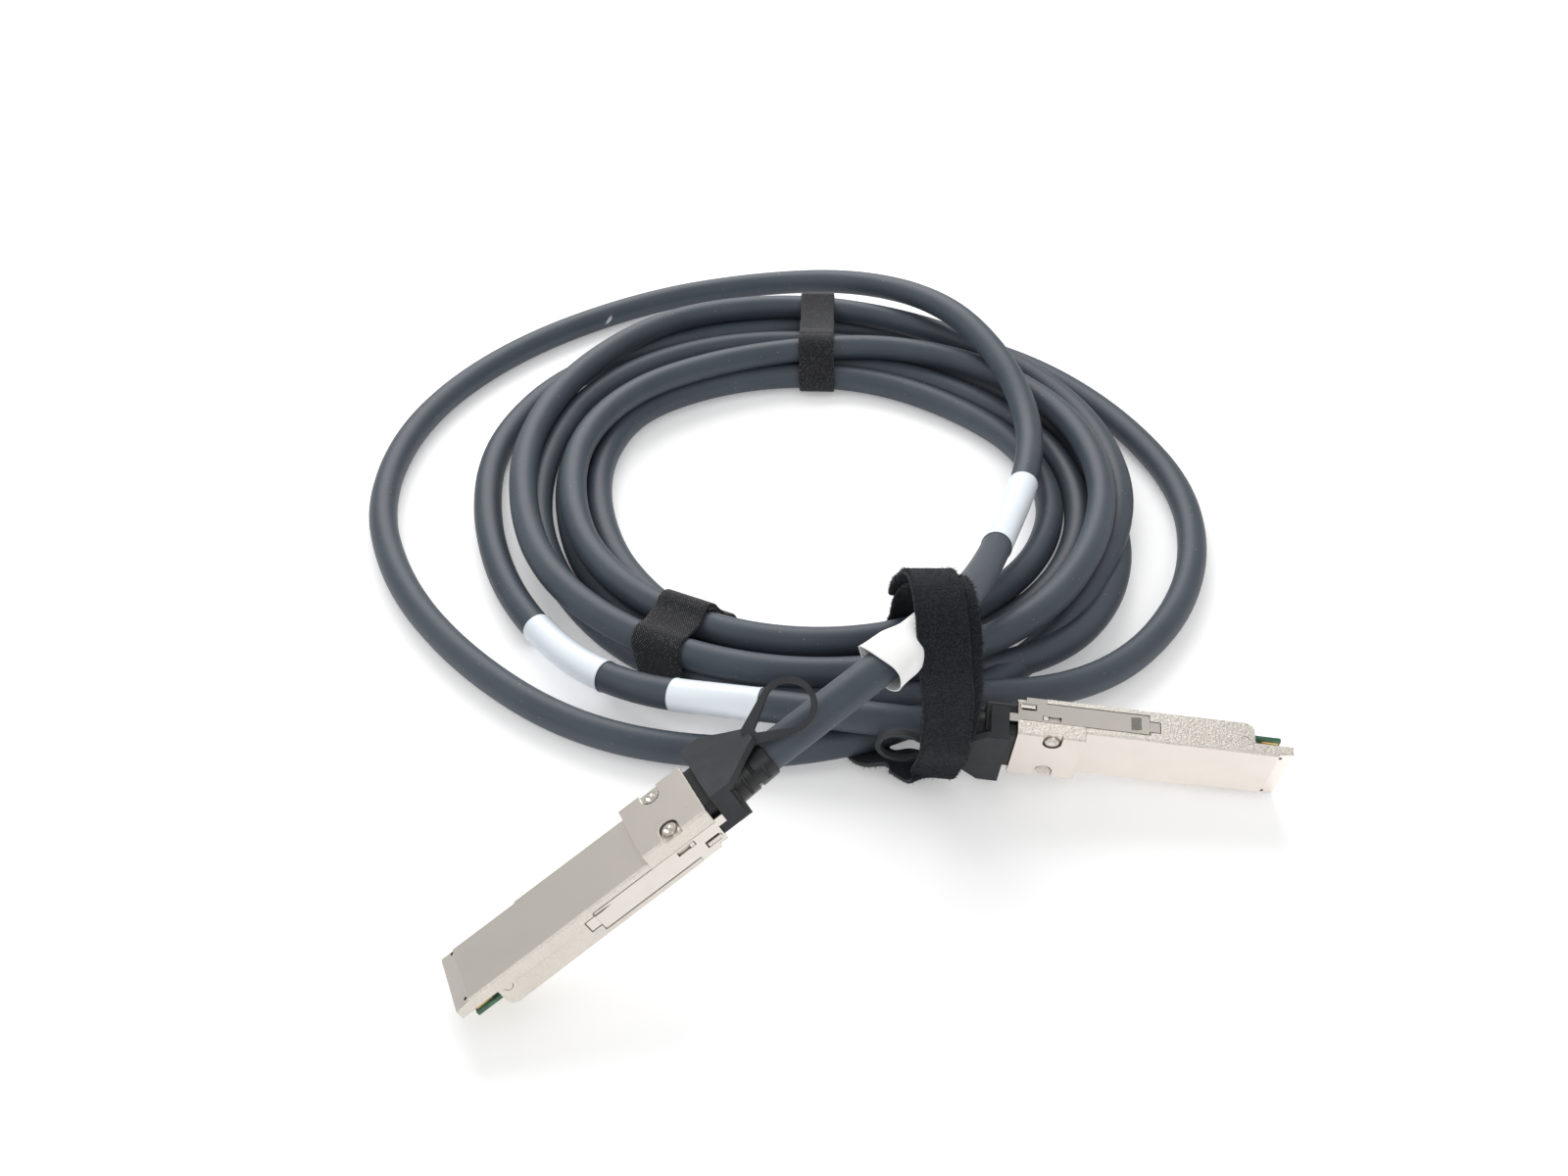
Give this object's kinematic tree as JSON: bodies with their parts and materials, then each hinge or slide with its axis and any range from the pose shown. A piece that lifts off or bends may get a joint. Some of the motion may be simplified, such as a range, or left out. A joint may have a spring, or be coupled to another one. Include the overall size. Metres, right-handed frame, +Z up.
{
  "type": "external storage cable",
  "caption": "Coiled passive copper storage cable with cast pluggable connectors at both ends, each with a sliding release latch and pull tab, held by fabric ties.",
  "frame": {"origin": "on the floor, under the middle of the box round the plugs, ties, strap and labels", "axes": "+Z up; +X to the right and -Y towards the viewer of the picture"},
  "size_m": [0.2631, 0.3302, 0.0634],
  "materials": {
    "shell": "nickel plated casting, satin",
    "slider": "stamped, bright",
    "card": "solder mask",
    "contact": "gold plated",
    "moulding": "fine matte",
    "pair": "foil and film",
    "jacket": "matte jacket",
    "tie": "woven",
    "strap": "napped pile",
    "label": "film",
    "flag": "film"
  },
  "bodies": {
    "cable": {"left_upper_shell": "shell", "left_lower_shell": "shell", "left_paddle_card": "card", "left_contact_pads": "contact", "left_rivets": "shell", "left_strain_relief": "moulding", "left_wire_pairs": "pair", "right_upper_shell": "shell", "right_lower_shell": "shell", "right_paddle_card": "card", "right_contact_pads": "contact", "right_rivets": "shell", "right_strain_relief": "moulding", "right_wire_pairs": "pair", "coil": "jacket", "left_lead": "jacket", "right_loop": "jacket", "right_lead": "jacket", "back_tie": "tie", "front_tie": "tie", "wide_strap": "strap", "left_serial_label": "label", "right_serial_label": "label", "part_label": "label", "flag_label": "flag"},
    "left_release": {"left_latch_slider": "slider", "left_pull_tab": "moulding"},
    "right_release": {"right_latch_slider": "slider", "right_pull_tab": "moulding"}
  },
  "joints": [
    {"name": "left_release_slide", "type": "slide", "parent": "cable", "child": "left_release", "axis": [0.8, 0.439, 0.409], "range_m": [0, 0.003], "stiffness_N_per_m": 400},
    {"name": "right_release_slide", "type": "slide", "parent": "cable", "child": "right_release", "axis": [-0.9924, 0.106, 0.062], "range_m": [0, 0.003], "stiffness_N_per_m": 400}
  ]
}
